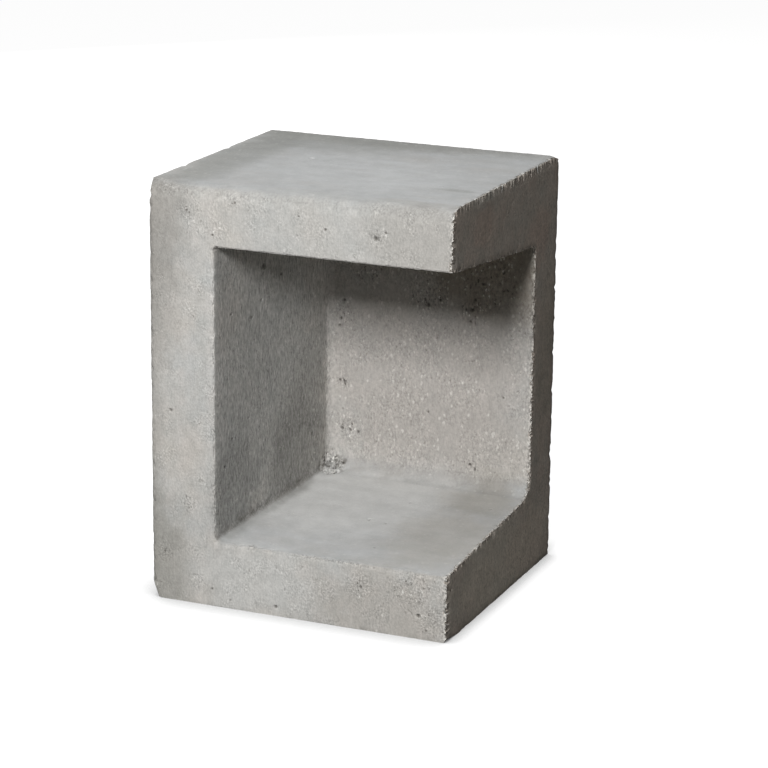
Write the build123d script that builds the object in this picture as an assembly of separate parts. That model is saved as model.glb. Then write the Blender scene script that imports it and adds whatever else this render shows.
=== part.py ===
from build123d import *
import os

# A concrete block, cast as one solid. It is hollow, and open at the front (-Y) and on the right (+X).
# Millimetres, +Z up, with the origin at the centre of the base.

# Outside of the block
width = 300.0           # left to right
depth = 270.0           # front to back
height = 400.0          # as it stands

# Thickness of the walls: the left wall and the two slabs are measured at the front face
left_wall = 68.0
top_slab = 57.0
bottom_slab = 64.0
back_wall = 58.0

# The cavity narrows towards the back, so that its core could be drawn out at the front
left_draft = 5.4        # degrees, of the left wall's inner face
ceiling_draft = 5.6
floor_draft = 3.8

# Rounding that the mould gave. The right face was struck off in the open mould, so its edges are sharp.
front_radius = 14.0     # between the top and the front face, the softest edge
outer_radius = 8.0      # on the two upright edges at the left, and at the back of the top
top_left_radius = 3.0   # between the top and the left face
base_radius = 2.0       # around the base, which the mould left nearly sharp
floor_radius = 18.0     # where the cavity's floor turns up into the back wall
side_radius = 7.0       # where the left wall meets the floor and the back wall
ceiling_radius = 4.0    # around the cavity's ceiling
mouth_radius = 4.0      # on the cavity's rim in the front face

core_overrun = 30.0     # how far the core passes the two open faces, so that it cuts through them

left_x = -width / 2
right_x = width / 2
front_y = -depth / 2
back_y = depth / 2


def plain_block():
    return Box(width, depth, height, align=(Align.CENTER, Align.CENTER, Align.MIN))


def rounded_top_edge(axis, end, radius):
    """The plain block with the top edge rounded that is first (0) or last (-1) along an axis."""
    top_face = plain_block().faces().sort_by(Axis.Z)[-1]
    return fillet(top_face.edges().sort_by(axis)[end], radius)


def outer_block():
    """The block before it is hollowed out, with every edge rounded except those of the right face.

    It is what blocks with single roundings have in common, so that roundings of different radius meet
    in crisp corners.
    """
    block = fillet(plain_block().edges().filter_by(Axis.Z).sort_by(Axis.X)[:2], outer_radius)
    block &= rounded_top_edge(Axis.Y, 0, front_radius)
    block &= rounded_top_edge(Axis.Y, -1, outer_radius)
    block &= rounded_top_edge(Axis.X, 0, top_left_radius)
    sharp_edges = block.faces().sort_by(Axis.X)[-1].edges()
    base_edges = block.faces().sort_by(Axis.Z)[0].edges()
    return fillet([e for e in base_edges if e not in sharp_edges], base_radius)


def drafted_core():
    """The cavity's space with plain corners. Its section in the plane of the front face is true."""
    low = Vector(left_x + left_wall, front_y - core_overrun, bottom_slab)
    high = Vector(right_x + core_overrun, back_y - back_wall, height - top_slab)
    size = high - low
    core = Pos(low) * Box(size.X, size.Y, size.Z, align=Align.MIN)
    front_plane = Plane(origin=(0, front_y, 0), z_dir=(0, -1, 0))
    core = draft(core.faces().sort_by(Axis.X)[0], front_plane, -left_draft)
    core = draft(core.faces().sort_by(Axis.Z)[-1], front_plane, -ceiling_draft)
    return draft(core.faces().sort_by(Axis.Z)[0], front_plane, -floor_draft)


def round_back_edge(core, axis, end, radius):
    """Round the edge between the core's back and the face that is first (0) or last (-1) along an axis.

    The rounding runs on along every edge that carries on smoothly from it.
    """
    back_face = core.faces().sort_by(Axis.Y)[-1]
    side_face = core.faces().sort_by(axis)[end]
    edge_between = [edge for edge in side_face.edges() if edge in back_face.edges()]
    return fillet(edge_between, radius)


def cavity_core():
    """The cavity's space with its rounded corners: first the widest one, last the ceiling's."""
    core = drafted_core()
    core = round_back_edge(core, Axis.Z, 0, floor_radius)
    core = round_back_edge(core, Axis.X, 0, side_radius)
    return round_back_edge(core, Axis.Z, -1, ceiling_radius)


def cavity_rim(block):
    """The edges that run around the cavity in the front face, from its floor to its ceiling."""
    front_face = block.faces().sort_by(Axis.Y)[0]
    inner_x = left_x + outer_radius
    inner_edges = front_face.edges().filter_by_position(Axis.X, inner_x, right_x, (False, False))
    return inner_edges.filter_by_position(Axis.Z, bottom_slab, height - top_slab)


def concrete_block():
    """The whole casting."""
    block = outer_block() - cavity_core()
    return fillet(cavity_rim(block), mouth_radius)


block = concrete_block()
os.makedirs("parts", exist_ok=True)
export_step(block, "parts/concrete_block.step")
print("concrete", round(block.volume / 1e6, 2), "litres")
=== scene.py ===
import bpy
import bmesh
import math
import random
from mathutils import Matrix, Vector, noise
from mathutils.kdtree import KDTree


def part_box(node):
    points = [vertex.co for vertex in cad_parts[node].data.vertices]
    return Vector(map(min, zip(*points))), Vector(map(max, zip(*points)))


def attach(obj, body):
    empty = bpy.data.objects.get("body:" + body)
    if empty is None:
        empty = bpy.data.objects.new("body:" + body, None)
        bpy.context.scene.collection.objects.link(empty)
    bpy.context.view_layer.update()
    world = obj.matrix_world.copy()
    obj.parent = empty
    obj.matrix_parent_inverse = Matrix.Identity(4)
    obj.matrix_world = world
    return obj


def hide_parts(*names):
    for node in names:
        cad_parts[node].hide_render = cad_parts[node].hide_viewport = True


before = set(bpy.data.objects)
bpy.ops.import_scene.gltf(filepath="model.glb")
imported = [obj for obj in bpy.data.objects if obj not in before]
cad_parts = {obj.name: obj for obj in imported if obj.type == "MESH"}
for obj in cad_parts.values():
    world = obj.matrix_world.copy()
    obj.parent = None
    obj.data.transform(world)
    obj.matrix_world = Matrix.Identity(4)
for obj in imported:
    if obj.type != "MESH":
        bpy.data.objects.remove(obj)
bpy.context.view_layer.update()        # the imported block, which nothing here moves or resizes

mm = 0.001
near = 1e-5              # two places closer than this, in metres, are the same
low, high = (Vector(corner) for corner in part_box("concrete_block"))


# The casting's shape: an outer box, and a cavity that is open at the front and on the right

casting = {
    "leftWall": 68 * mm,                   # walls where they meet the front face
    "topSlab": 57 * mm,
    "bottomSlab": 64 * mm,
    "backWall": 58 * mm,
    "leftDraft": math.radians(5.4),        # the cavity narrows towards the back
    "ceilingDraft": math.radians(5.6),
    "floorDraft": math.radians(3.8),
    "topFrontRadius": 14 * mm,
    "outerRadius": 8 * mm,
    "topLeftRadius": 3 * mm,
    "baseRadius": 0.6 * mm,
    "floorRadius": 18 * mm,
    "sideRadius": 7 * mm,
    "ceilingRadius": 4 * mm,
    "floorRimRadius": 4.5 * mm,
    "rimRadius": 2 * mm,
    "roundSegments": 6,
    "square": 3.8 * mm,                    # the mesh's squares
    "snap": 0.4 * mm,                      # a cut this close to a corner goes through it
    "shortEdge": 0.1 * mm,                 # what is shorter goes before the wear
    "pinchedEdge": 0.03 * mm,              # and what the wear left this short goes after it
    "squareOn": 0.9,                       # a face looks along an axis from this share of its normal on
}

cavity = {
    "left": low.x + casting["leftWall"],
    "back": high.y - casting["backWall"],
    "floor": low.z + casting["bottomSlab"],
    "ceiling": high.z - casting["topSlab"],
}
cavityDepth = cavity["back"] - low.y


def same(a, b):
    return abs(a - b) < near


def addObject(name, data):
    made = bpy.data.objects.new(name, data)
    bpy.context.scene.collection.objects.link(made)
    return made


def cutAlong(bm, point, normal):
    everything = bm.verts[:] + bm.edges[:] + bm.faces[:]
    bmesh.ops.bisect_plane(bm, geom=everything, dist=casting["snap"], plane_co=point, plane_no=normal)


def isOpening(face):
    # True for what lies in the cavity's mouth, in the front face or in the right one
    centre = face.calc_center_median()
    if not cavity["floor"] < centre.z < cavity["ceiling"]:
        return False
    inFront = same(centre.y, low.y) and centre.x > cavity["left"]
    onRight = same(centre.x, high.x) and centre.y < cavity["back"]
    return inFront or onRight


def openBorder(bm, x, y):
    # the upright edges on the border of the hole that stand at x, y
    def stands(edge):
        return edge.is_boundary and all(same(v.co.x, x) and same(v.co.y, y) for v in edge.verts)
    return [edge for edge in bm.edges if stands(edge)]


def hollowBox():
    bm = bmesh.new()
    bmesh.ops.create_cube(bm, size=1.0)
    bmesh.ops.scale(bm, vec=high - low, verts=bm.verts)
    bmesh.ops.translate(bm, vec=(low + high) / 2, verts=bm.verts)
    cutAlong(bm, (cavity["left"], 0, 0), (1, 0, 0))
    cutAlong(bm, (0, cavity["back"], 0), (0, 1, 0))
    cutAlong(bm, (0, 0, cavity["floor"]), (0, 0, 1))
    cutAlong(bm, (0, 0, cavity["ceiling"]), (0, 0, 1))
    bmesh.ops.delete(bm, geom=[face for face in bm.faces if isOpening(face)], context="FACES")

    jamb = openBorder(bm, cavity["left"], low.y)
    leftWall = bmesh.ops.extrude_edge_only(bm, edges=jamb)["geom"]
    innerCorner = [part for part in leftWall if isinstance(part, bmesh.types.BMVert)]
    bmesh.ops.translate(bm, vec=(0, cavityDepth, 0), verts=innerCorner)
    backEnds = openBorder(bm, cavity["left"], cavity["back"]) + openBorder(bm, high.x, cavity["back"])
    bmesh.ops.bridge_loops(bm, edges=backEnds)
    bmesh.ops.holes_fill(bm, edges=[edge for edge in bm.edges if edge.is_boundary], sides=0)
    bmesh.ops.recalc_face_normals(bm, faces=bm.faces)
    return bm


def taperCavity(bm):
    # the corners at the cavity's back move in by what the draft takes over its depth
    for v in bm.verts:
        atSide = same(v.co.x, cavity["left"]) or same(v.co.x, high.x)
        if not (atSide and same(v.co.y, cavity["back"])):
            continue
        if same(v.co.z, cavity["floor"]):
            v.co.z += cavityDepth * math.tan(casting["floorDraft"])
        elif same(v.co.z, cavity["ceiling"]):
            v.co.z -= cavityDepth * math.tan(casting["ceilingDraft"])
        else:
            continue
        if same(v.co.x, cavity["left"]):
            v.co.x += cavityDepth * math.tan(casting["leftDraft"])


def faceName(face):
    centre = face.calc_center_median()
    outside = {
        "left": same(centre.x, low.x), "right": same(centre.x, high.x),
        "front": same(centre.y, low.y), "back": same(centre.y, high.y),
        "base": same(centre.z, low.z), "top": same(centre.z, high.z),
    }
    for name, there in outside.items():
        if there:
            return name
    if face.normal.x > casting["squareOn"]:
        return "leftWall"
    if -face.normal.y > casting["squareOn"]:
        return "backWall"
    return "floor" if face.normal.z > 0 else "ceiling"


def edgeRadius(edge):
    # what the mould rounded between two named faces; the right face's edges stay sharp
    names = {faceName(face) for face in edge.link_faces}
    if len(names) < 2 or "right" in names:
        return 0
    rims = [
        ({"front", "top"}, "topFrontRadius"),
        ({"left", "top"}, "topLeftRadius"),
        ({"backWall", "floor"}, "floorRadius"),
        ({"leftWall", "floor"}, "sideRadius"),
        ({"leftWall", "backWall"}, "sideRadius"),
        ({"leftWall", "ceiling"}, "ceilingRadius"),
        ({"backWall", "ceiling"}, "ceilingRadius"),
        ({"front", "floor"}, "floorRimRadius"),
        ({"front", "leftWall"}, "rimRadius"),
        ({"front", "ceiling"}, "rimRadius"),
    ]
    for pair, radius in rims:
        if names == pair:
            return casting[radius]
    return casting["baseRadius"] if "base" in names else casting["outerRadius"]


def roundEdges(bm):
    widest = casting["floorRadius"]
    weight = bm.edges.layers.float.new("bevel_weight_edge")
    for edge in bm.edges:
        edge[weight] = edgeRadius(edge) / widest
    sharp = bpy.data.meshes.new("sharpCasting")
    bm.to_mesh(sharp)
    bm.free()
    holder = addObject("sharpCasting", sharp)
    bevel = holder.modifiers.new("mouldRounding", "BEVEL")
    bevel.limit_method = "WEIGHT"
    bevel.width = widest
    bevel.segments = casting["roundSegments"]
    bevel.profile = 0.5
    bevel.use_clamp_overlap = False
    rounded = bpy.data.meshes.new_from_object(holder.evaluated_get(bpy.context.evaluated_depsgraph_get()))
    bpy.data.objects.remove(holder)
    bpy.data.meshes.remove(sharp)
    bm = bmesh.new()
    bm.from_mesh(rounded)
    bpy.data.meshes.remove(rounded)
    return bm


def cutIntoSquares(bm):
    # the cuts start and end beside the rounded edges, and one square before the sharp ones at the right
    inset = casting["outerRadius"]
    starts = low + Vector((inset, inset, casting["baseRadius"]))
    ends = high - Vector((casting["square"], inset, inset))
    for axis in range(3):
        start, end = starts[axis], ends[axis]
        steps = round((end - start) / casting["square"])
        normal = Vector((0, 0, 0))
        normal[axis] = 1
        for step in range(steps + 1):
            cutAlong(bm, normal * (start + (end - start) * step / steps), normal)
    bmesh.ops.dissolve_degenerate(bm, dist=casting["shortEdge"], edges=bm.edges)


# The wear and the relief of the surface

squareness = {                   # how squarely a face looks one way: where an effect starts, and is full
    "flat": (0.9, 0.99),         # along any axis, past the roundings
    "floor": (0.05, 0.6),        # up, in the cavity
    "top": (0.6, 0.95),          # up, outside it
    "backWall": (0.5, 0.9),
    "leftWall": (0.5, 0.95),
    "crestUp": (0.02, 0.45),
    "crestForward": (0.02, 0.35),
}

arrisWear = {
    "sharpAngle": math.radians(50),
    "fineReach": 3.6 * mm,       # the squares are split this far from a sharp edge
    "fineCuts": 3,
    "crumbleReach": 2.8 * mm,
    "struckReach": 1.25,         # times that far on the struck face itself
    "crumbReach": 5.5 * mm,      # how far the colour of broken grains spreads
    "crumbleDepth": 6.5 * mm,
    "awayShare": 0.12,           # of that depth on the edges at the back and the base
    "grainSizes": ((2.0 * mm, 1.0), (4.6 * mm, 0.4)),      # width and share of each
    "grainStart": 0.06,          # more leaves fewer sound lengths between the teeth
    "lossSize": 19 * mm,         # stretches that lost more
    "loss": 0.85,                # what they lose, and how far it swings
    "lossSwing": 0.6,
    "lossFloor": 0.4,
    "leastLoss": 0.1 * mm,
    "deepest": 1.7 * mm,
    "across": 0.85,              # the share of it that goes off the right side, the rest goes in squarely
    "facetAngle": math.radians(34),
}

topArris = {                     # along the top its broken grains are less pale, with painted shade where they lie deep
    "height": 6 * mm,
    "paleShare": 0.25,
    "darkShare": 0.8,
    "darkWear": (0.6 * mm, 1.5 * mm),
}

roundedWear = {                  # on the edges that the mould rounded
    "sizes": (3.4 * mm, 7 * mm),
    "depth": 1.7 * mm,
    "fineReach": 6.0 * mm,
    "fineCuts": 1,
    "step": 2.0 * mm,
    "inset": 0.3,                # the worn line's distance from both faces, as a share of the radius
}

rimCrumbs = {                    # broken grains along the rim of the cavity's mouth
    "reach": 5.0 * mm,
    "share": 0.5,
    "stretch": 21 * mm,          # lengths with and without them
    "border": (-0.3, 0.25),
    "sill": 6 * mm,              # up to this far over the floor's edge they keep to its middle:
    "sillStart": (-60 * mm, -40 * mm),
    "sillEnd": (70 * mm, 90 * mm),
}

wallFootShade = {                     # painted shade, darker where the left wall meets the floor
    "reach": 13 * mm,
    "ragged": 0.8,
    "raggedSize": 11 * mm,
    "strength": 0.9,
}

smoothFoot = {                   # the back wall is smooth where it starts from the floor
    "border": (34 * mm, 16 * mm),          # heights over the floor's front edge, from rough to smooth
    "sway": 14 * mm,
    "swaySize": 30 * mm,
    "strength": 0.8,
}

topSkin = {                      # the top is smooth, less so along its left and back edges
    "border": (10 * mm, 50 * mm),          # distances from them
    "edgeShare": 0.6,
    "ragged": 0.2,
    "raggedSize": 13 * mm,
}

sway = [(60 * mm, 0.5 * mm), (19 * mm, 0.3 * mm), (8 * mm, 0.2 * mm)]    # width and depth of each

chips = [                        # places in mm, radius, depth
    ((150, -135, 400), 9, 1.6),
    ((150, -135, 343), 5, 1.6),
    ((150, -135, 64), 8, 2.4),
    ((-149.4, -130, 386), 6, 2.8),
    ((-149.4, -130, 371), 6, 1.2),
    ((-82, -135, 322), 4, 1.5),
    ((-82, -135, 300), 5, 1.6),
    ((-82, -135, 262), 4, 1.4),
    ((-82, -135, 240), 4, 1.3),
    ((150, -70, 400), 6, 1.4),
    ((150, 40, 400), 5, 1.2),
    ((150, -135, 30), 6, 1.6),
    ((150, -20, 71), 6, 1.2),
    ((-82, -135, 128), 4, 1.4),
    ((-150, -60, 400), 9, 1.2),
    ((-150, 30, 400), 7, 1.0),
    ((-150, -135, 255), 6, 1.2),
    ((-150, -135, 330), 7, 1.0),
]

breaks = [                       # corners in mm that broke off flat: the way the break faces, and its depth
    ((-150, -135, 0), (-0.86, -0.36, -0.35), 8.2),
    ((150, -135, 0), (0.74, -0.10, -0.66), 3.2),
    ((150, 135, 400), (0.35, 0.23, 0.91), 4.2),
    ((-150, 135, 400), (-0.68, 0.68, 0.27), 5.6),
    ((-150, -135, 400), (-0.90, -0.38, 0.21), 6.4),
]

pores = [                        # places in mm and radius, as they lie on each face
    ((76.3, -135, 367.2), 2.3),
    ((85.8, -135, 373.2), 1.3),
    ((27.8, -135, 370.4), 1.5),
    ((2.0, -135, 380.0), 1.2),
    ((-83.4, -135, 354.3), 1.5),
    ((-20.5, -135, 8.9), 2.0),
    ((-85.5, -135, 16.6), 1.3),
    ((121.6, -135, 22.2), 2.2),
    ((-127, -135, 185), 1.8),
    ((65, -135, 41), 1.6),
    ((-54.4, 17.4, 400), 2.5),
    ((-46.3, -130.6, 64.3), 1.9),
    ((-73.5, -44.8, 307.3), 3.2),
    ((-70.5, -13.7, 293.1), 1.9),
    ((-74.0, -50.2, 275.9), 1.6),
    ((-79.0, -103.6, 274.5), 1.6),
    ((-75.7, -68.3, 262.7), 1.7),
    ((-76.2, -74.0, 167.4), 1.5),
    ((-80.1, -115.2, 130.8), 1.8),
    ((-64.9, 46.1, 121.0), 2.0),
    ((-47.7, 77, 119.8), 2.0),
    ((-39.1, 77, 118.8), 1.7),
    ((-30.5, 77, 117.9), 1.9),
    ((-50.2, 77, 168.5), 1.8),
    ((-46.5, 77, 249.5), 2.2),
    ((-49.6, 77, 231.1), 1.8),
    ((-51.0, 77, 224.0), 1.6),
    ((41.3, 77, 254.2), 2.2),
    ((53.6, 77, 260.5), 1.8),
    ((89.3, 77, 264.5), 1.8),
    ((86.5, 77, 254.3), 2.2),
    ((84.7, 77, 242.3), 2.0),
    ((43.0, 77, 147.6), 1.5),
    ((120.0, 77, 171.3), 1.4),
    ((87.6, 77, 99.9), 1.7),
    ((-51.0, 70, 84.0), 3.0),
    ((-45.0, 74, 86.0), 1.8),
    ((127.5, 30.7, 75.0), 1.4),
    ((29.8, -33.9, 70.7), 1.5),
    ((61.2, -94.3, 66.7), 1.3),
    ((48.2, -36.9, 70.5), 1.2),
]

stray = {                        # further pores, spread by chance
    "seed": 17,
    "count": 16,
    "radii": (1.0 * mm, 1.5 * mm),
}

poreShape = {
    "cuts": 3,
    "margin": 1.2,               # the squares are split this many radii from the middle
    "sink": 0.8,                 # depth as a share of the radius
    "bowl": 0.6,                 # less gives a flatter bottom and steeper sides
}

chipShape = {
    "depth": 0.8,                # of the depth in the list, and how far it swings
    "swing": 0.35,
    "grain": 3 * mm,
    "nearLow": 6 * mm,           # a chip this close to the left, front or base is knocked off from there
    "nearHigh": 1 * mm,          # and this close to the right, back or top
}

breakShape = {
    "swing": 0.25,               # how uneven the flat is
    "grain": 4 * mm,
    "openSkin": 0.8,             # how much of its sand shows
}

crumbledCorner = {               # a patch in the cavity, where its left wall, back wall and floor meet
    "place": Vector((-56, 72, 82)) * mm,
    "reach": 18 * mm,
    "border": (0.6, 1),          # shares of the reach, from its sand to the sound skin
    "depth": 2.2 * mm,
    "grain": 4.5 * mm,
    "fineShare": 0.6,            # a second grain, half as wide
    "holes": 1.8,                # how dark the painted shade in the holes between the grains is, and from which depth on
    "holesFrom": 0.12,
    "cuts": 2,
}

# Where the cement skin is open and the sand shows: everywhere a little, and in these places more
openSkin = {
    "sizes": ((32 * mm, 1.0), (10 * mm, 0.9)),
    "border": (-0.12, 0.25),
    "thresholds": {"outside": 0.2, "level": 0.4, "struck": 0.1, "walls": -0.1},     # less opens more
    "levelFrom": 0.7,            # how squarely a level face looks up
    "frontDepth": 4 * mm,
    "share": 0.45,               # of what shows in the places named below
    "fade": (0.35, 1),           # shares of a place's radius, from its full strength to none
}

openPlaces = [                   # place in mm, radius, strength
    ((-110, -135, 374), 11, 0.9),
    ((-64, -135, 388), 10, 0.9),
    ((-77, -135, 359), 13, 0.7),
    ((-45, -135, 367), 9, 0.6),
    ((78, -135, 369), 15, 0.8),
    ((76, -135, 393), 8, 0.7),
    ((91, -135, 349), 9, 0.7),
    ((-91, -135, 164), 9, 0.7),
    ((-110, -135, 97), 12, 0.9),
    ((-135, -135, 46), 13, 0.8),
    ((-100, -135, 22), 12, 0.8),
    ((-107, -135, 283), 10, 0.7),
    ((-60, -135, 46), 8, 0.8),
    ((-37, -135, 46), 9, 0.8),
    ((31, -135, 31), 15, 0.6),
    ((65, -135, 41), 20, 1.0),
    ((84, -135, 20), 14, 0.7),
    ((116, -135, 46), 28, 0.9),
    ((136, -135, 18), 22, 0.9),
    ((-40, 77, 120), 20, 1.0),
    ((-48, 77, 168), 12, 1.0),
    ((-48, 77, 238), 16, 1.0),
    ((86, 77, 252), 18, 1.0),
    ((88, 77, 100), 12, 1.0),
    ((104, 77, 285), 46, 1.0),
    ((42, 77, 268), 34, 1.0),
    ((-22, 77, 288), 32, 0.9),
]

surfaceMarks = (                 # what the surface tells the colours, each from 0 to 1
    "paste",                     # the smooth faces: the cavity's floor, the foot of its back wall, the top
    "openSkin",                  # where the sand shows
    "drawn",                     # the left wall, along which the core was drawn
    "arris",                     # sharp edges, and crumbs on worn ones
    "hollow",                    # painted shade in pores and other holes
    "crestShade",                     # painted shade on roundings that face up and forward, against the light they catch
    "footShade",                     # painted shade at the foot of the left wall
)


def pointTree(points):
    tree = KDTree(max(len(points), 1))
    for index, point in enumerate(points):
        tree.insert(point, index)
    tree.balance()
    return tree


def sharpCorners(bm):
    # the corners along the edges of the struck face
    corners = set()
    for edge in bm.edges:
        onStruckFace = all(same(v.co.x, high.x) for v in edge.verts)
        if onStruckFace and edge.calc_face_angle(0) > arrisWear["sharpAngle"]:
            corners.update(edge.verts)
    return [v.co.copy() for v in corners]


def splitNear(bm, isNear, cuts):
    close = [edge for edge in bm.edges if all(isNear(v.co) for v in edge.verts)]
    bmesh.ops.subdivide_edges(bm, edges=close, cuts=cuts, use_grid_fill=True)


def allPores(bm):
    chance = random.Random(stray["seed"])
    spots = [(Vector(place) * mm, radius * mm) for place, radius in pores]
    bm.faces.ensure_lookup_table()
    for index in sorted(chance.sample(range(len(bm.faces)), stray["count"])):
        face = bm.faces[index]
        if face.calc_center_median().z > low.z + near:
            spots.append((face.calc_center_median(), chance.uniform(*stray["radii"])))
    return spots


def ripple(point, size):
    return noise.noise(point / size)       # from -1 to 1


def smoothStep(value, start, end):
    share = min(max((value - start) / (end - start), 0), 1)
    return share * share * (3 - 2 * share)


def isAway(point):
    # True beside the edges at the back and round the base, which wore less
    margin = arrisWear["fineReach"] + mm
    return point.y > high.y - margin or point.z < low.z + margin


def isInside(co):
    # True at the height of the cavity, behind the rim of its mouth and left of the struck face
    behindRim = co.y > low.y + casting["floorRimRadius"] and co.x < high.x - mm
    return behindRim and cavity["floor"] < co.z < cavity["ceiling"]


def crumble(point, distance):
    # how far the sharp edge has worn back here: teeth of sand, with sound lengths between them
    spread = arrisWear["crumbleReach"]
    if point.x > high.x - 0.1 * mm:
        spread *= arrisWear["struckReach"]
    if distance > spread:
        return 0
    reach = 1 - smoothStep(distance, 0, spread)
    grain = sum(share * ripple(point, size) for size, share in arrisWear["grainSizes"])
    loss = arrisWear["loss"] + arrisWear["lossSwing"] * ripple(point, arrisWear["lossSize"])
    teeth = max(grain + arrisWear["grainStart"], 0)
    bite = arrisWear["crumbleDepth"] * teeth * max(loss, arrisWear["lossFloor"])
    if isAway(point):
        bite *= arrisWear["awayShare"]
    return reach * min(arrisWear["leastLoss"] + bite, arrisWear["deepest"])


def mouldedWear(co, normal):
    # how far the surface lies below true: it sways a little everywhere, and its rounded edges are worn
    sink = sum(depth * (0.5 + 0.5 * ripple(co, width)) for width, depth in sway)
    rounded = 1 - smoothStep(max(abs(part) for part in normal), *squareness["flat"])
    wear = sum(ripple(co, size) for size in roundedWear["sizes"])
    return sink + rounded * roundedWear["depth"] * max(wear, 0)


def crumbledAt(co, away):
    # the crumbled patch's depth, and the painted shade of its holes
    if away >= 1:
        return 0, 0
    middle = 1 - away * away
    grain = crumbledCorner["grain"]
    rough = ripple(co, grain) + crumbledCorner["fineShare"] * ripple(co, grain / 2)
    dark = max(crumbledCorner["holes"] * middle * (rough - crumbledCorner["holesFrom"]), 0)
    return crumbledCorner["depth"] * middle * rough, dark


def poreAt(gap, radius):
    # a pore's depth and its painted shade, this far from its middle
    share = gap / radius
    if share >= 1:
        return 0, 0
    middle = 1 - share * share
    return poreShape["sink"] * radius * middle ** poreShape["bowl"], middle


def outwardAt(place):
    # away from the block at a place on one of its corners, edges or faces
    aboveHigh = [place[axis] > high[axis] - chipShape["nearHigh"] for axis in range(3)]
    belowLow = [place[axis] < low[axis] + chipShape["nearLow"] for axis in range(3)]
    return Vector([above - below for above, below in zip(aboveHigh, belowLow)]).normalized()


def chipOff(co, move, bites):
    # a place's move, with what the chips around it took
    for place, radius, depth in bites:
        share = (co - place).length / radius
        if share < 1:
            rough = chipShape["depth"] + chipShape["swing"] * ripple(co, chipShape["grain"])
            move -= outwardAt(place) * depth * (1 - share * share) * rough
    return move


def breakOff(co, flats):
    # how far a place beyond the flat breaks has to move, to lie on them
    move = Vector()
    for corner, facing, depth in flats:
        beyond = (co - corner).dot(facing) + depth
        if beyond > 0:
            move -= facing * beyond * (1 + breakShape["swing"] * ripple(co, breakShape["grain"]))
    return move


def skinZone(co, normal):
    if same(co.x, high.x):
        return "struck"
    if normal.z > openSkin["levelFrom"]:
        return "level"
    atFront = co.y < low.y + openSkin["frontDepth"]
    return "outside" if atFront or co.x < cavity["left"] - mm else "walls"


def skinOpenness(co, normal, places):
    patchy = sum(share * ripple(co, size) for size, share in openSkin["sizes"])
    threshold = openSkin["thresholds"][skinZone(co, normal)]
    openness = openSkin["share"] * smoothStep(patchy - threshold, *openSkin["border"])
    for place, radius, strength in places:
        share = (co - place).length / radius
        if share < 1:
            openness = max(openness, strength * (1 - smoothStep(share, *openSkin["fade"])))
    return openness


def pasteAt(co, normal):
    # how smooth the cement is: on the cavity's floor, at the foot of its back wall, and on the top
    if isInside(co):
        onBackWall = smoothStep(-normal.y, *squareness["backWall"])
        rise = co.z + smoothFoot["sway"] * ripple(co, smoothFoot["swaySize"]) - cavity["floor"]
        foot = smoothFoot["strength"] * onBackWall * smoothStep(rise, *smoothFoot["border"])
        return max(smoothStep(normal.z, *squareness["floor"]), foot)
    border = smoothStep(min(co.x - low.x, high.y - co.y), *topSkin["border"])
    lookingUp = normal.z + topSkin["ragged"] * ripple(co, topSkin["raggedSize"])
    share = topSkin["edgeShare"] + (1 - topSkin["edgeShare"]) * border
    return smoothStep(lookingUp, *squareness["top"]) * share


def crumbsAt(co, distance):
    # broken grains, this far from the rim of the cavity's mouth
    crumbs = 1 - smoothStep(distance, 0, rimCrumbs["reach"])
    crumbs *= rimCrumbs["share"] * smoothStep(ripple(co, rimCrumbs["stretch"]), *rimCrumbs["border"])
    if co.z < cavity["floor"] + rimCrumbs["sill"]:
        pastEnd = smoothStep(co.x, *rimCrumbs["sillEnd"])
        crumbs *= smoothStep(co.x, *rimCrumbs["sillStart"]) * (1 - pastEnd)
    return crumbs


def crestShadeAt(normal):
    # painted shade on a rounding that looks up and forward, where the light falls most
    return smoothStep(normal.z, *squareness["crestUp"]) * smoothStep(-normal.y, *squareness["crestForward"])


def footShadeAt(co, normal, distance):
    # painted shade, this far from the line where the left wall meets the floor
    ragged = wallFootShade["reach"] * (1 + wallFootShade["ragged"] * ripple(co, wallFootShade["raggedSize"]))
    return (1 - smoothStep(distance, 0, ragged)) * smoothStep(normal.x, *squareness["leftWall"])


def alongLine(start, end, step):
    count = max(round((end - start).length / step), 1)
    return [start.lerp(end, index / count) for index in range(count + 1)]


def footLine():
    # left wall meets floor, from the mouth to the back wall
    rise = cavityDepth * math.tan(casting["floorDraft"])
    shift = cavityDepth * math.tan(casting["leftDraft"])
    start = Vector((cavity["left"], low.y, cavity["floor"]))
    end = Vector((cavity["left"] + shift, cavity["back"], cavity["floor"] + rise))
    return alongLine(start, end, roundedWear["step"])


def mouthRim():
    # from the mouth's lower left corner along the floor, and up the left wall
    corner = Vector((cavity["left"], low.y, cavity["floor"]))
    ends = [Vector((high.x, low.y, cavity["floor"])), Vector((cavity["left"], low.y, cavity["ceiling"]))]
    return [point for end in ends for point in alongLine(corner, end, roundedWear["step"])]


def wornLines():
    # the rounded edges in sight of the front: the mouth's rim, and the outer edges at the left and the top
    inset = casting["outerRadius"] * roundedWear["inset"]
    left, front, top = low.x + inset, low.y + inset, high.z - inset
    ends = [
        ((cavity["left"], low.y, cavity["ceiling"]), (high.x, low.y, cavity["ceiling"])),
        ((left, front, low.z), (left, front, top)),
        ((left, front, top), (left, high.y, top)),
        ((left, high.y - inset, top), (high.x, high.y - inset, top)),
    ]
    return mouthRim() + [
        point for start, end in ends for point in alongLine(Vector(start), Vector(end), roundedWear["step"])
    ]


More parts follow.
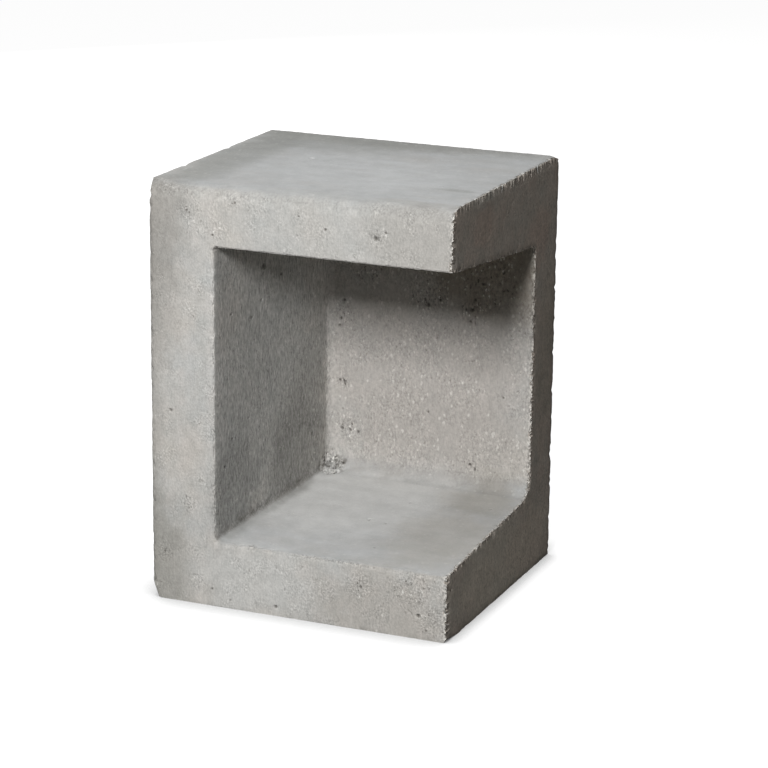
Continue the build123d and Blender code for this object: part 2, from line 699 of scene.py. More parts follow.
def refineMesh(bm, spots):
    # smaller squares where there is fine relief: at the edges, the pores and the crumbled corner
    arrisTree = pointTree(sharpCorners(bm))

    def onSharpEdge(co):
        return arrisTree.find(co)[2] < arrisWear["fineReach"] and not isAway(co)
    splitNear(bm, onSharpEdge, arrisWear["fineCuts"])
    edgeTree = pointTree(wornLines())

    def onWornEdge(co):
        return edgeTree.find(co)[2] < roundedWear["fineReach"] and co.x < high.x - arrisWear["fineReach"] - mm
    splitNear(bm, onWornEdge, roundedWear["fineCuts"])
    corner = crumbledCorner["place"]
    splitNear(bm, lambda co: (co - corner).length < crumbledCorner["reach"], crumbledCorner["cuts"])
    poreTree = pointTree([place for place, radius in spots])

    def nearPore(co):
        found, index, distance = poreTree.find(co)
        return distance < spots[index][1] * poreShape["margin"] + casting["square"]
    splitNear(bm, nearPore, poreShape["cuts"])
    bm.normal_update()


def weatherSurface(bm):
    spots = allPores(bm)
    refineMesh(bm, spots)
    poreTree = pointTree([place for place, radius in spots])
    arrisTree = pointTree(sharpCorners(bm))
    footTree = pointTree(footLine())
    rimTree = pointTree(mouthRim())
    places = [(Vector(place) * mm, radius * mm, strength) for place, radius, strength in openPlaces]
    bites = [(Vector(place) * mm, radius * mm, depth * mm) for place, radius, depth in chips]
    flats = [(Vector(place) * mm, Vector(facing).normalized(), depth * mm) for place, facing, depth in breaks]
    layers = {mark: bm.verts.layers.float.new(mark) for mark in surfaceMarks}
    moves = []
    for v in bm.verts:
        co, normal = v.co, v.normal
        distance = arrisTree.find(co)[2]
        away = (co - crumbledCorner["place"]).length / crumbledCorner["reach"]
        sound = smoothStep(away, *crumbledCorner["border"])
        found, index, gap = poreTree.find(co)
        worn = crumble(co, distance)
        patchDepth, patchDark = crumbledAt(co, away)
        poreDepth, poreDark = poreAt(gap, spots[index][1])
        sink = mouldedWear(co, normal) + (1 - arrisWear["across"]) * worn + patchDepth + poreDepth
        move = chipOff(co, normal * -sink - Vector((arrisWear["across"] * worn, 0, 0)), bites)
        broken = breakOff(co + move, flats)
        isBroken = broken.length > 0
        grains = 1 - smoothStep(distance, 0, arrisWear["crumbReach"])
        marks = {
            "paste": pasteAt(co, normal) * (sound if isInside(co) else 1),
            "openSkin": max(skinOpenness(co, normal, places), 1 - sound, breakShape["openSkin"] * isBroken),
            "drawn": smoothStep(normal.x, *squareness["leftWall"]) * isInside(co),
            "arris": max(grains, crumbsAt(co, rimTree.find(co)[2])),
            "hollow": max(patchDark, poreDark),
            "crestShade": crestShadeAt(normal),
            "footShade": footShadeAt(co, normal, footTree.find(co)[2]),
        }
        if co.z > high.z - topArris["height"]:
            marks["arris"] *= topArris["paleShare"]
            # painted shade in the deep notches along the top's edge
            dark = topArris["darkShare"] * smoothStep(worn, *topArris["darkWear"])
            marks["hollow"] = max(marks["hollow"], dark)
        for mark, value in marks.items():
            v[layers[mark]] = value
        moves.append((v, co + move + broken, same(co.z, low.z) and not isBroken))
    for v, place, onBase in moves:
        v.co = [min(max(place[axis], low[axis]), high[axis]) for axis in range(3)]
        if onBase:
            v.co.z = low.z


def closeMesh(bm):
    # edges that the wear pinched go, and what they leave crowded or loose goes with them
    bmesh.ops.dissolve_degenerate(bm, dist=casting["pinchedEdge"], edges=bm.edges)
    for face in bm.faces:
        face.smooth = True
    bmesh.ops.triangulate(bm, faces=[face for face in bm.faces if len(face.verts) > 4])
    crowded = [edge for edge in bm.edges if len(edge.link_faces) > 2]
    bmesh.ops.collapse(bm, edges=crowded)
    bmesh.ops.delete(bm, geom=[edge for edge in bm.edges if not edge.link_faces], context="EDGES")
    bm.normal_update()
    print("casting closed:", sum(len(edge.link_faces) != 2 for edge in bm.edges), "open or crowded edges")


def makeBlock():
    bm = hollowBox()
    taperCavity(bm)
    bm = roundEdges(bm)
    print("casting rounded:", len(bm.faces), "faces")
    cutIntoSquares(bm)
    print("casting cut into squares:", len(bm.faces), "faces")
    weatherSurface(bm)
    closeMesh(bm)
    mesh = bpy.data.meshes.new("castBlock")
    bm.to_mesh(mesh)
    print("casting weathered:", sum(len(face.verts) - 2 for face in bm.faces), "triangles")
    bm.free()
    mesh.set_sharp_from_angle(angle=arrisWear["facetAngle"])
    piece = addObject("castBlock", mesh)
    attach(piece, "root")
    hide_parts("concrete_block")
    return piece


# Shader helpers

def clearedTree(owner):
    # the node tree of a material or of the world, emptied
    owner.use_nodes = True
    owner.node_tree.nodes.clear()
    return owner.node_tree


def addNode(tree, kind, inputs=None, **settings):
    made = tree.nodes.new(kind)
    for name, value in settings.items():
        setattr(made, name, value)
    for name, value in (inputs or {}).items():
        if isinstance(value, bpy.types.NodeSocket):
            tree.links.new(value, made.inputs[name])
        else:
            made.inputs[name].default_value = value
    return made


def calc(tree, operation, first, second=0.0, clamp=False):
    made = addNode(tree, "ShaderNodeMath", {0: first, 1: second}, operation=operation, use_clamp=clamp)
    return made.outputs[0]


def product(tree, *values):
    result = values[0]
    for value in values[1:]:
        result = calc(tree, "MULTIPLY", result, value)
    return result


def total(tree, *values):
    result = values[0]
    for value in values[1:]:
        result = calc(tree, "ADD", result, value)
    return result


def centred(tree, value):
    # what runs from 0 to 1 then lies evenly about 0
    return calc(tree, "SUBTRACT", value, 0.5)


def vectorCalc(tree, operation, first, second):
    return addNode(tree, "ShaderNodeVectorMath", {0: first, 1: second}, operation=operation).outputs[0]


def remap(tree, value, fromLow, fromHigh, toLow=0.0, toHigh=1.0, smooth=False):
    sockets = {"Value": value, "From Min": fromLow, "From Max": fromHigh, "To Min": toLow, "To Max": toHigh}
    kind = "SMOOTHSTEP" if smooth else "LINEAR"
    return addNode(tree, "ShaderNodeMapRange", sockets, interpolation_type=kind).outputs[0]


def mixColour(tree, share, first, second, blend="MIX"):
    made = addNode(tree, "ShaderNodeMix", {0: share, 6: first, 7: second}, data_type="RGBA", blend_type=blend)
    return made.outputs[2]


def noiseAt(tree, place, scale, detail=2.0, roughness=0.6):
    return addNode(tree, "ShaderNodeTexNoise", {
        "Vector": place, "Scale": scale, "Detail": detail, "Roughness": roughness,
    }).outputs


def attribute(tree, name):
    return addNode(tree, "ShaderNodeAttribute", attribute_name=name).outputs["Fac"]


def useGroup(tree, group, inputs):
    return addNode(tree, "ShaderNodeGroup", inputs, node_tree=group).outputs


def paint(red, green, blue):
    # a colour as a screen shows it, 0 to 255, made linear
    def linear(part):
        part = part / 255
        return part / 12.92 if part <= 0.04045 else ((part + 0.055) / 1.055) ** 2.4
    return (linear(red), linear(green), linear(blue), 1.0)


def newGroup(name, inputs, outputs):
    group = bpy.data.node_groups.new(name, "ShaderNodeTree")
    for label, kind, value in inputs:
        socket = group.interface.new_socket(name=label, in_out="INPUT", socket_type="NodeSocket" + kind)
        if value is not None:
            socket.default_value = value
    for label, kind in outputs:
        group.interface.new_socket(name=label, in_out="OUTPUT", socket_type="NodeSocket" + kind)
    return group, group.nodes.new("NodeGroupInput").outputs, group.nodes.new("NodeGroupOutput")


def makeCloudGroup():
    # soft light and dark clouds in the cement, Size metres across
    group, given, result = newGroup(
        "cementCloud",
        [("Position", "Vector", None), ("Size", "Float", 0.05), ("Detail", "Float", 3.0),
         ("Contrast", "Float", 1.0)],
        [("Shade", "Float")],
    )
    scale = calc(group, "DIVIDE", 1.0, given["Size"])
    cloud = noiseAt(group, given["Position"], scale, given["Detail"], 0.55)[0]
    swing = calc(group, "MULTIPLY", centred(group, cloud), given["Contrast"])
    group.links.new(calc(group, "ADD", swing, 0.5, clamp=True), result.inputs["Shade"])
    return group


grainCell = {
    "radius": (0.22, 0.46),      # of the smallest and the largest grain, in cells of the pattern
    "edge": (1.0, 0.45),         # shares of that radius, from a grain's border to where it is full
    "paleHeight": 0.5,           # how far a stone stands up, where a pinhole is 1 deep
}


def makeGrainGroup():
    # single grains of sand, Size metres across: Pale stones, Dark pinholes and the Height of both
    group, given, result = newGroup(
        "sandGrain",
        [("Position", "Vector", None), ("Size", "Float", 0.002), ("Fill", "Float", 1.0),
         ("Pale share", "Float", 0.1), ("Dark share", "Float", 0.1)],
        [("Pale", "Float"), ("Dark", "Float"), ("Height", "Float")],
    )
    scale = calc(group, "DIVIDE", 1.0, given["Size"])
    cells = addNode(group, "ShaderNodeTexVoronoi", {"Vector": given["Position"], "Scale": scale})
    chance = addNode(group, "ShaderNodeSeparateColor", {0: cells.outputs["Color"]}).outputs
    reach = calc(group, "MULTIPLY", remap(group, chance[1], 0.0, 1.0, *grainCell["radius"]), given["Fill"])
    depth = calc(group, "DIVIDE", cells.outputs["Distance"], reach)
    blob = remap(group, depth, *grainCell["edge"], smooth=True)
    isPale = calc(group, "GREATER_THAN", chance[0], calc(group, "SUBTRACT", 1.0, given["Pale share"]))
    isDark = calc(group, "LESS_THAN", chance[0], given["Dark share"])
    pale = calc(group, "MULTIPLY", blob, isPale)
    dark = calc(group, "MULTIPLY", blob, isDark)
    height = calc(group, "SUBTRACT", calc(group, "MULTIPLY", pale, grainCell["paleHeight"]), dark)
    for label, value in {"Pale": pale, "Dark": dark, "Height": height}.items():
        group.links.new(value, result.inputs[label])
    return group


patchBorder = (1.15, 0.45)       # shares of a patch's size, from none of it to all of it


def makePatchGroup():
    # one stain or patch of painted shadow: a soft ellipsoid round Centre, whose border the cloudy Border
    # pushes in and out
    group, given, result = newGroup(
        "softPatch",
        [("Position", "Vector", None), ("Centre", "Vector", None), ("Size", "Vector", None),
         ("Border", "Float", 0.0), ("Ragged", "Float", 0.5)],
        [("Mask", "Float")],
    )
    offset = vectorCalc(group, "SUBTRACT", given["Position"], given["Centre"])
    shares = vectorCalc(group, "DIVIDE", offset, given["Size"])
    away = addNode(group, "ShaderNodeVectorMath", {0: shares}, operation="LENGTH").outputs["Value"]
    reach = calc(group, "ADD", away, calc(group, "MULTIPLY", given["Border"], given["Ragged"]))
    group.links.new(remap(group, reach, *patchBorder, smooth=True), result.inputs["Mask"])
    return group


# The concrete: as it left the mould, and as it was struck off on the right face

mouldedFinish = {
    "warm": paint(188, 184, 177),
    "cool": paint(182, 184, 182),
    "blush": paint(189, 181, 176),
    "smoothTone": paint(180, 181, 181),    # the smooth faces
    "paleGrain": paint(236, 234, 228),
    "darkGrain": paint(104, 99, 92),
    # painted shade in pores, pits, holes and the gaps of broken edges
    "hollow": paint(74, 70, 64),
    "brokenEdge": paint(224, 220, 212),
    # painted shade at the foot of the left wall
    "footShade": paint(98, 94, 88),
    "cloudSize": 62 * mm,
    "mottleSize": 15 * mm,
    "dappleSize": 4.4 * mm,
    "gritSize": 2.8 * mm,
    "pitSize": 4.2 * mm,
    "pitShare": 0.25,
    "stoneSize": 6.2 * mm,                 # single pale stones, which show behind the front face
    "stoneShare": 0.42,
    "stoneStrength": 0.38,
    "sandSize": 1.7 * mm,
    "fleckSize": 1.9 * mm,
    "fleckShare": 0.2,                     # of the flecks where nothing was drawn along
    "drawnOut": 0.7,                       # the grain's height is stretched by the inverse of this
    "closed": 0.3,                         # what shows of the grain where the skin is whole
    "palest": 0.8,
    "darkest": 0.8,
    "pitted": 0.7,
    "mottleSwing": 0.14,
    "dappleSwing": 0.27,
    "fleckSwing": 1.6,
    "sandSwing": 0.82,
    "roughness": (0.78, 0.93),
    "relief": 1.1 * mm,
}

struckFinish = {
    "warm": paint(182, 173, 163),
    "cool": paint(174, 171, 163),
    "blush": paint(184, 168, 157),
    "smoothTone": paint(174, 169, 160),
    "paleGrain": paint(214, 206, 196),
    "darkGrain": paint(112, 104, 96),
    # painted shade in pores, pits, holes and the gaps of broken edges
    "hollow": paint(84, 78, 72),
    # painted shade: darker than the struck face, for the shaded notches along its edges
    "brokenEdge": paint(130, 123, 114),
    # painted shade at the foot of the left wall
    "footShade": paint(98, 94, 88),
    "cloudSize": 38 * mm,
    "mottleSize": 17 * mm,
    "dappleSize": 6.0 * mm,
    "gritSize": 3.6 * mm,
    "pitSize": 8.0 * mm,
    "pitShare": 0.3,
    "stoneSize": 14 * mm,
    "stoneShare": 0.2,
    "stoneStrength": 0.3,
    "sandSize": 1.9 * mm,
    "fleckSize": 2.4 * mm,
    "fleckShare": 1.0,
    "drawnOut": 0.8,
    "closed": 0.5,
    "palest": 0.35,
    "darkest": 0.5,
    "pitted": 0.5,
    "mottleSwing": 0.16,
    "dappleSwing": 0.3,
    "fleckSwing": 0.42,
    "sandSwing": 0.9,
    "roughness": (0.7, 0.85),
    "relief": 0.7 * mm,
}

mouldedStainsAndShade = [            # stains, and painted shadow where the top slab shades the back wall: centre and size in mm, colour, strength, raggedness
    ((-120, 0, 400), (34, 190, 30), paint(150, 150, 146), 0.65, 0.4),
    ((0, 128, 400), (190, 40, 30), paint(152, 151, 147), 0.75, 0.4),
    ((-70, 110, 400), (110, 70, 30), paint(152, 152, 148), 0.55, 0.5),
    ((122, -57, 400), (26, 7, 10), paint(146, 146, 142), 0.45, 0.5),
    ((90, -135, 20), (90, 30, 45), paint(162, 156, 148), 0.45, 0.6),
    ((-45, -135, 30), (70, 30, 40), paint(192, 192, 189), 0.7, 0.5),
    ((-150, -135, 200), (18, 30, 260), paint(156, 154, 149), 0.45, 0.4),
    ((-146, -135, 290), (34, 30, 80), paint(160, 157, 152), 0.6, 0.5),
    ((-150, -135, 355), (48, 30, 80), paint(150, 147, 142), 0.75, 0.5),
    ((-150, -135, 30), (46, 30, 90), paint(150, 148, 142), 0.75, 0.5),
    ((40, -135, 370), (150, 30, 60), paint(176, 176, 173), 0.5, 0.4),
    ((118, -135, 372), (64, 30, 50), paint(168, 165, 160), 0.7, 0.5),
    ((10, -20, 400), (120, 90, 30), paint(194, 195, 195), 0.5, 0.5),
    ((0, 10, 72), (120, 110, 22), paint(206, 206, 204), 0.85, 0.3),
    ((110, -60, 70), (54, 90, 20), paint(176, 172, 164), 0.5, 0.5),
    ((60, 77, 118), (120, 26, 50), paint(180, 176, 170), 0.6, 0.4),
    ((40, 66, 84), (90, 22, 22), paint(204, 203, 200), 0.6, 0.4),
    ((40, 84, 200), (160, 26, 170), paint(170, 165, 160), 0.8, 0.3),
    ((-74, -20, 200), (16, 150, 190), paint(171, 171, 168), 0.8, 0.3),
    ((-68, 15, 110), (16, 75, 62), paint(128, 127, 123), 0.6, 0.5),
    ((-66, 40, 170), (16, 40, 60), paint(146, 145, 141), 0.5, 0.5),
    ((-78, -100, 105), (16, 55, 70), paint(146, 146, 143), 0.7, 0.5),
    # painted shadow of the top slab on the back wall's upper strip
    ((40, 77, 320), (150, 26, 42), paint(150, 141, 128), 0.7, 0.3),
    ((100, 77, 292), (75, 26, 50), paint(134, 124, 110), 0.6, 0.4),
    ((112, 45, 82), (44, 50, 26), paint(164, 160, 152), 0.6, 0.5),
]

struckStains = [
    ((150, -60, 372), (12, 34, 22), paint(186, 160, 146), 0.3, 0.9),
    ((150, 90, 330), (12, 26, 34), paint(186, 160, 146), 0.3, 0.9),
    ((150, -60, 30), (12, 50, 24), paint(198, 182, 168), 0.6, 0.6),
    ((150, 60, 34), (12, 60, 30), paint(204, 182, 168), 0.7, 0.6),
    ((150, 0, 34), (12, 150, 44), paint(196, 190, 178), 0.75, 0.4),
    ((150, 116, 210), (12, 30, 100), paint(164, 156, 144), 0.5, 0.5),
]

stainAndShadeBorder = {"scale": 38.0, "detail": 4.0}

bothFinishes = {                 # what the two finishes share
    "cloudContrast": 2.6,
    "streakContrast": 1.8,
    "mottleContrast": 2.0,
    "blushShare": 0.4,
    "streakFade": 0.5,           # how far the streaks let the ground through the smooth tone
    "gritShare": 0.22,           # of the grit that is pale, and as much that is dark
    "stoneFill": 0.8,
    "pasteCover": 0.3,           # what shows of the grain on the smooth faces
    "pitSkin": (0.5, 0.9),       # how open the skin is where the pits start, and where all show
    "drawnStones": 0.3,          # what shows of the stones on the left wall
    "frontPits": 0.4,            # and of the pits on the front
    "insideBand": (3 * mm, 15 * mm),       # behind the front face the stones start, and all show
    "streakSwing": 0.12,
    # how much painted shade darkens the roundings that face up and forward
    "crestShadeSwing": -0.22,
    "footShadeSand": (0.42, 0.58),   # the sand noise that takes the most and the least of the painted foot shade
    "leastFootShade": 0.6,
    "paleSand": (0.5, 0.58),     # the sand noise from which an edge's grains are pale
    "paleEdge": 0.85,
    "darkSand": (0.48, 0.4),     # and from which they are gone, with painted shade in the gaps
    "edgeGapShade": 0.7,
    # how much painted shade the pores and holes get
    "hollowShare": 0.85,
    "sandHeight": 0.5,
    "gritHeight": 0.3,
    "pitHeight": -0.7,
    "shine": 0.3,
    "trowelled": (0.3, 1.0, 1.0),          # the smooth faces' streaks run from left to right
    "fleckStretch": (1.0, 1.0, 0.3),       # the flecks stand upright
}


def stainedAndShaded(tree, colour, position, stainsAndShade, group):
    border = centred(tree, noiseAt(tree, position, stainAndShadeBorder["scale"], stainAndShadeBorder["detail"])[0])
    border = product(tree, border, 2.0)
    for centre, size, patchColour, strength, ragged in stainsAndShade:
        patch = useGroup(tree, group, {
            "Position": position,
            "Centre": Vector(centre) * mm,
            "Size": Vector(size) * mm,
            "Border": border,
            "Ragged": ragged,
        })
        colour = mixColour(tree, calc(tree, "MULTIPLY", patch["Mask"], strength), colour, patchColour)
    return colour


def readSurface(tree, finish):
    # places and marks on the surface, and how much of the grain shows there
    surface = {mark: attribute(tree, mark) for mark in surfaceMarks}
    position = addNode(tree, "ShaderNodeTexCoord").outputs["Object"]
    surface["position"] = position
    surface["upright"] = vectorCalc(tree, "MULTIPLY", position, (1.0, 1.0, finish["drawnOut"]))
    fromFront = addNode(tree, "ShaderNodeSeparateXYZ", {0: position}).outputs["Y"]
    start, end = bothFinishes["insideBand"]
    surface["inside"] = remap(tree, fromFront, low.y + start, low.y + end)
    surface["raw"] = remap(tree, surface["paste"], 0.0, 1.0, 1.0, bothFinishes["pasteCover"])
    openness = remap(tree, surface["openSkin"], 0.0, 1.0, finish["closed"], 1.0)
    surface["grain"] = product(tree, surface["raw"], openness)
    surface["loose"] = product(tree, surface["raw"], surface["openSkin"])
    return surface


def cementClouds(tree, finish, surface, group):
    def clouds(place, size, contrast):
        inputs = {"Position": place, "Size": size, "Contrast": bothFinishes[contrast]}
        return useGroup(tree, group, inputs)["Shade"]
    trowelled = vectorCalc(tree, "MULTIPLY", surface["position"], bothFinishes["trowelled"])
    return {
        "cloud": clouds(surface["position"], finish["cloudSize"], "cloudContrast"),
        "streaks": clouds(trowelled, finish["mottleSize"], "streakContrast"),
        "mottle": clouds(surface["upright"], finish["mottleSize"], "mottleContrast"),
    }


def groundColour(tree, finish, surface, clouds):
    colour = mixColour(tree, clouds["cloud"], finish["warm"], finish["cool"])
    blush = calc(tree, "MULTIPLY", clouds["mottle"], bothFinishes["blushShare"])
    colour = mixColour(tree, blush, colour, finish["blush"])
    streaks = remap(tree, clouds["streaks"], 0.0, 1.0, bothFinishes["streakFade"], 1.0)
    return mixColour(tree, product(tree, surface["paste"], streaks), colour, finish["smoothTone"])


def sandGrains(tree, finish, surface, group):
    # single grains, strong where the skin is open and nearly gone on the smooth faces
    sand = noiseAt(tree, surface["upright"], 1 / finish["sandSize"])
    jolt = vectorCalc(tree, "SUBTRACT", sand["Color"], (0.5, 0.5, 0.5))
    jolt = vectorCalc(tree, "MULTIPLY", jolt, (2 * finish["sandSize"],) * 3)
    jagged = vectorCalc(tree, "ADD", jolt, surface["upright"])

    def grains(size, paleShare, darkShare, fill=1.0):
        return useGroup(tree, group, {
            "Position": jagged, "Size": size, "Fill": fill, "Pale share": paleShare, "Dark share": darkShare,
        })
    pits = grains(finish["pitSize"], 0.0, finish["pitShare"])
    pitted = product(tree, surface["raw"], remap(tree, surface["openSkin"], *bothFinishes["pitSkin"]))
    frontPits = remap(tree, surface["inside"], 0.0, 1.0, bothFinishes["frontPits"], 1.0)
    stones = grains(finish["stoneSize"], finish["stoneShare"], 0.0, bothFinishes["stoneFill"])
    drawnStones = remap(tree, surface["drawn"], 0.0, 1.0, 1.0, bothFinishes["drawnStones"])
    return {
        "sand": sand["Fac"],
        "swing": product(tree, centred(tree, sand["Fac"]), 2.0),
        "grit": grains(finish["gritSize"], bothFinishes["gritShare"], bothFinishes["gritShare"]),
        "pit": product(tree, pits["Dark"], pitted, frontPits),
        "stone": product(tree, stones["Pale"], product(tree, surface["raw"], surface["inside"], drawnStones)),
    }


def lightAndDark(tree, finish, surface, clouds, grains):
    # from hand-sized clouds down to the grains, around 1, with painted shade on the roundings that face up
    # and forward
    dapple = noiseAt(tree, surface["upright"], 1 / finish["dappleSize"], roughness=0.55)[0]
    fleckPlace = vectorCalc(tree, "MULTIPLY", surface["position"], bothFinishes["fleckStretch"])
    flecks = noiseAt(tree, fleckPlace, 1 / finish["fleckSize"])[0]
    fleckShare = remap(tree, surface["drawn"], 0.0, 1.0, finish["fleckShare"], 1.0)
    tone = total(
        tree,
        product(tree, grains["swing"], surface["grain"], finish["sandSwing"]),
        product(tree, centred(tree, dapple), surface["raw"], finish["dappleSwing"]),
        product(tree, centred(tree, flecks), fleckShare, surface["raw"], finish["fleckSwing"]),
        product(tree, centred(tree, clouds["mottle"]), finish["mottleSwing"]),
        product(tree, centred(tree, clouds["streaks"]), surface["paste"], bothFinishes["streakSwing"]),
        # painted shade on the roundings that face up and forward
        product(tree, surface["crestShade"], bothFinishes["crestShadeSwing"]),
        1.0,
    )
    return addNode(tree, "ShaderNodeCombineColor", {0: tone, 1: tone, 2: tone}).outputs[0]


def paintMarks(tree, colour, finish, surface, grains):
    # grains, broken edges, and painted shade at the left wall's foot, in the edges' gaps and in the holes,
    # each over the ones before
    def sandRemap(span, *to, smooth=False):
        return remap(tree, grains["sand"], *bothFinishes[span], *to, smooth=smooth)
    footShade = product(tree, surface["footShade"], sandRemap("footShadeSand", 1.0, bothFinishes["leastFootShade"]))
    paleEdge = product(tree, surface["arris"], surface["raw"], sandRemap("paleSand", smooth=True))
    # painted shade in the gaps where an edge's grains are gone
    edgeGapShade = product(tree, surface["arris"], sandRemap("darkSand", smooth=True))
    marks = [
        ((grains["grit"]["Pale"], surface["loose"], finish["palest"]), "paleGrain"),
        ((grains["grit"]["Dark"], surface["loose"], finish["darkest"]), "darkGrain"),
        ((grains["stone"], finish["stoneStrength"]), "paleGrain"),
        ((paleEdge, bothFinishes["paleEdge"]), "brokenEdge"),
        ((edgeGapShade, bothFinishes["edgeGapShade"]), "hollow"),
        ((footShade, wallFootShade["strength"]), "footShade"),
        # painted shade in the pits
        ((grains["pit"], finish["pitted"]), "hollow"),
        ((surface["hollow"], bothFinishes["hollowShare"]), "hollow"),
    ]
    for shares, tint in marks:
        colour = mixColour(tree, product(tree, *shares), colour, finish[tint])
    return colour


def makeConcrete(name, finish, stainsAndShade, groups):
    material = bpy.data.materials.new(name)
    tree = clearedTree(material)
    surface = readSurface(tree, finish)
    clouds = cementClouds(tree, finish, surface, groups["cloud"])
    grains = sandGrains(tree, finish, surface, groups["grain"])
    colour = groundColour(tree, finish, surface, clouds)
    colour = stainedAndShaded(tree, colour, surface["position"], stainsAndShade, groups["patch"])
    tone = lightAndDark(tree, finish, surface, clouds, grains)
    colour = mixColour(tree, 1.0, colour, tone, "MULTIPLY")
    colour = paintMarks(tree, colour, finish, surface, grains)
    roughness = remap(tree, clouds["mottle"], 0.0, 1.0, *finish["roughness"])
    height = total(
        tree,
        product(tree, grains["swing"], surface["grain"], bothFinishes["sandHeight"]),
        product(tree, grains["grit"]["Height"], surface["loose"], bothFinishes["gritHeight"]),
        product(tree, grains["pit"], bothFinishes["pitHeight"]),
    )
    bump = addNode(tree, "ShaderNodeBump", {"Strength": 1.0, "Distance": finish["relief"], "Height": height})
    shader = addNode(tree, "ShaderNodeBsdfPrincipled", {
        "Base Color": colour, "Roughness": roughness, "Normal": bump.outputs[0],
        "Specular IOR Level": bothFinishes["shine"],
    })
    addNode(tree, "ShaderNodeOutputMaterial", {"Surface": shader.outputs[0]})
    return material


struckSide = {                   # the faces that are dressed as struck off
    "squareness": 0.5,           # at least this squarely they look to the right
    "depth": 4 * mm,             # and they lie at most this far in
}


def dressBlock(piece):
    groups = {"cloud": makeCloudGroup(), "grain": makeGrainGroup(), "patch": makePatchGroup()}
    piece.data.materials.append(makeConcrete("mouldedConcrete", mouldedFinish, mouldedStainsAndShade, groups))
    piece.data.materials.append(makeConcrete("struckConcrete", struckFinish, struckStains, groups))
    struck = 0
    for face in piece.data.polygons:
        if face.normal.x > struckSide["squareness"] and face.center.x > high.x - struckSide["depth"]:
            face.material_index = 1
            struck += 1
    print("concrete applied:", struck, "faces struck off, the rest from the mould")


# The studio: a pale floor, a white surround and four soft lamps

studio = {
    "floorSize": 12.0,
    "floorBounce": paint(92, 91, 89),         # what the floor gives back to the block
    "floorSeen": paint(150, 150, 150),
    "floorGlow": 0.95,
    "contactReach": (46 * mm, 24 * mm),       # how far the painted shadow in the floor's glow spreads at the foot, and at its right
    "contactTurn": 8 * mm,                    # the one turns into the other this close to the right face
    "contactDark": 0.12,                      # the openness at which the floor stops glowing
    "surround": (1.0, 1.0, 1.0, 1.0),
    "fill": paint(255, 249, 241),
    "fillStrength": 0.004,
    "aim": Vector((0, 0, 0.2)),
}

lamps = [       # name, azimuth from the front (to the right), elevation, distance, size, watts, colour
    ("frontSoftbox", 5.0, 31.2, 3.0, (0.72, 0.72), 90.0, (1.0, 1.0, 1.0)),
    ("overheadSoftbox", -10.0, 76.0, 1.9, (1.1, 0.9), 12.6, (0.96, 0.985, 1.0)),
    ("sideFill", 84.0, 12.0, 3.0, (1.6, 1.2), 7.0, (1.0, 0.975, 0.95)),
    ("farFill", -135.0, 7.0, 3.0, (1.6, 0.6), 34.0, (1.0, 0.985, 0.96)),
]


def directionTo(turn, lift):
    # from the block, turned to the right of its front and lifted over the floor
    return Vector((math.sin(turn) * math.cos(lift), -math.cos(turn) * math.cos(lift), math.sin(lift)))


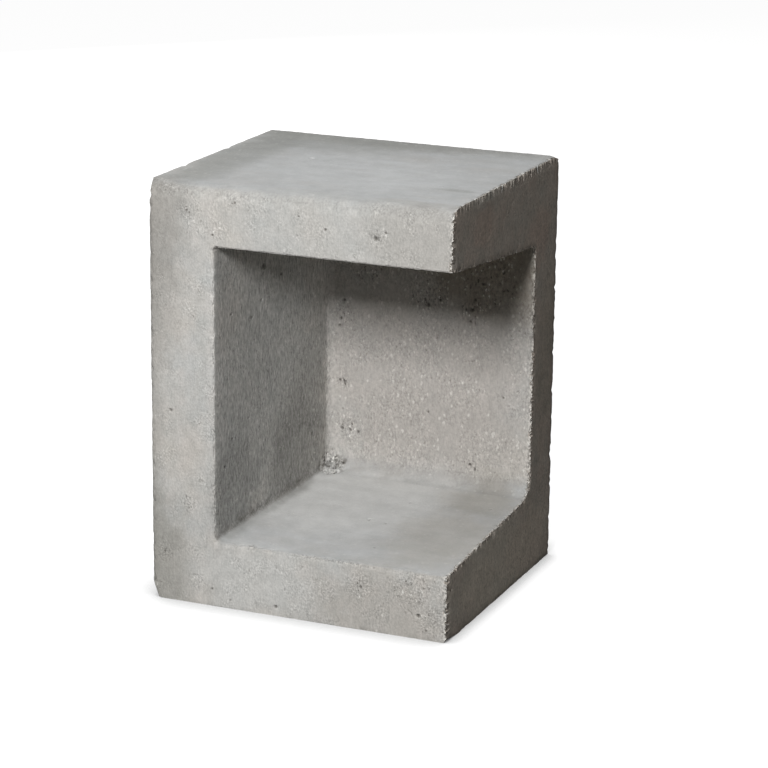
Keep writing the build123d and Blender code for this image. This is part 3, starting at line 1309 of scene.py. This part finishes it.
def makeFloor():
    bm = bmesh.new()
    bmesh.ops.create_grid(bm, x_segments=1, y_segments=1, size=studio["floorSize"] / 2)
    mesh = bpy.data.meshes.new("studioFloor")
    bm.to_mesh(mesh)
    bm.free()
    material = bpy.data.materials.new("paleFloor")
    tree = clearedTree(material)
    seen = addNode(tree, "ShaderNodeLightPath").outputs["Is Camera Ray"]
    place = addNode(tree, "ShaderNodeTexCoord").outputs["Object"]
    sideways = addNode(tree, "ShaderNodeSeparateXYZ", {0: place}).outputs["X"]
    turn = studio["contactTurn"]
    reach = remap(tree, sideways, high.x - turn, high.x + turn, *studio["contactReach"])
    # painted shadow: the floor's glow dims where the block closes it in, a contact shadow round the foot
    openness = addNode(tree, "ShaderNodeAmbientOcclusion", {"Distance": reach}, samples=4)
    openShare = remap(tree, openness.outputs["AO"], studio["contactDark"], 1.0)
    bounce = addNode(tree, "ShaderNodeBsdfDiffuse", {"Color": studio["floorBounce"]})
    shown = addNode(tree, "ShaderNodeBsdfDiffuse", {"Color": studio["floorSeen"]})
    strength = calc(tree, "MULTIPLY", openShare, studio["floorGlow"])
    glow = addNode(tree, "ShaderNodeEmission", {"Strength": strength})
    lit = addNode(tree, "ShaderNodeAddShader", {0: shown.outputs[0], 1: glow.outputs[0]})
    mixed = addNode(tree, "ShaderNodeMixShader", {0: seen, 1: bounce.outputs[0], 2: lit.outputs[0]})
    addNode(tree, "ShaderNodeOutputMaterial", {"Surface": mixed.outputs[0]})
    floor = addObject("studioFloor", mesh)
    floor.data.materials.append(material)


def makeSurround():
    world = bpy.data.worlds.new("studio")
    bpy.context.scene.world = world
    tree = clearedTree(world)
    seen = addNode(tree, "ShaderNodeLightPath").outputs["Is Camera Ray"]
    fill = addNode(tree, "ShaderNodeBackground", {
        "Color": studio["fill"], "Strength": studio["fillStrength"],
    })
    white = addNode(tree, "ShaderNodeBackground", {"Color": studio["surround"], "Strength": 1.0})
    mixed = addNode(tree, "ShaderNodeMixShader", {0: seen, 1: fill.outputs[0], 2: white.outputs[0]})
    addNode(tree, "ShaderNodeOutputWorld", {"Surface": mixed.outputs[0]})


def makeLamps():
    for name, azimuth, elevation, distance, size, watts, colour in lamps:
        light = bpy.data.lights.new(name, "AREA")
        light.shape = "RECTANGLE"
        light.size, light.size_y = size
        light.energy = watts
        light.color = colour
        away = directionTo(math.radians(azimuth), math.radians(elevation))
        lamp = addObject(name, light)
        lamp.location = studio["aim"] + away * distance
        lamp.rotation_euler = away.to_track_quat("Z", "Y").to_euler()


# The camera, at the photograph's height and side

shot = {
    "azimuth": math.radians(22.869),       # round to the right of the front
    "elevation": math.radians(16.020),
    "roll": math.radians(0.645),
    "distance": 2.7136,
    "aim": Vector((0.02867, 0.00077, 0.19387)),
    "lens": 135.2,
    "farthest": 50,
}


def makeCamera():
    back = directionTo(shot["azimuth"], shot["elevation"])
    right = Vector((math.cos(shot["azimuth"]), math.sin(shot["azimuth"]), 0))
    up = back.cross(right)
    axes = Matrix((right, up, back)).transposed() @ Matrix.Rotation(shot["roll"], 3, "Z")
    camera = bpy.data.cameras.new("photoCamera")
    camera.lens = shot["lens"]
    camera.clip_end = shot["farthest"]
    holder = addObject("photoCamera", camera)
    holder.matrix_world = Matrix.Translation(shot["aim"] + back * shot["distance"]) @ axes.to_4x4()
    bpy.context.scene.camera = holder


block = makeBlock()
dressBlock(block)
makeFloor()
makeSurround()
makeLamps()
makeCamera()
bpy.context.scene.view_settings.view_transform = "Standard"
print("studio ready")
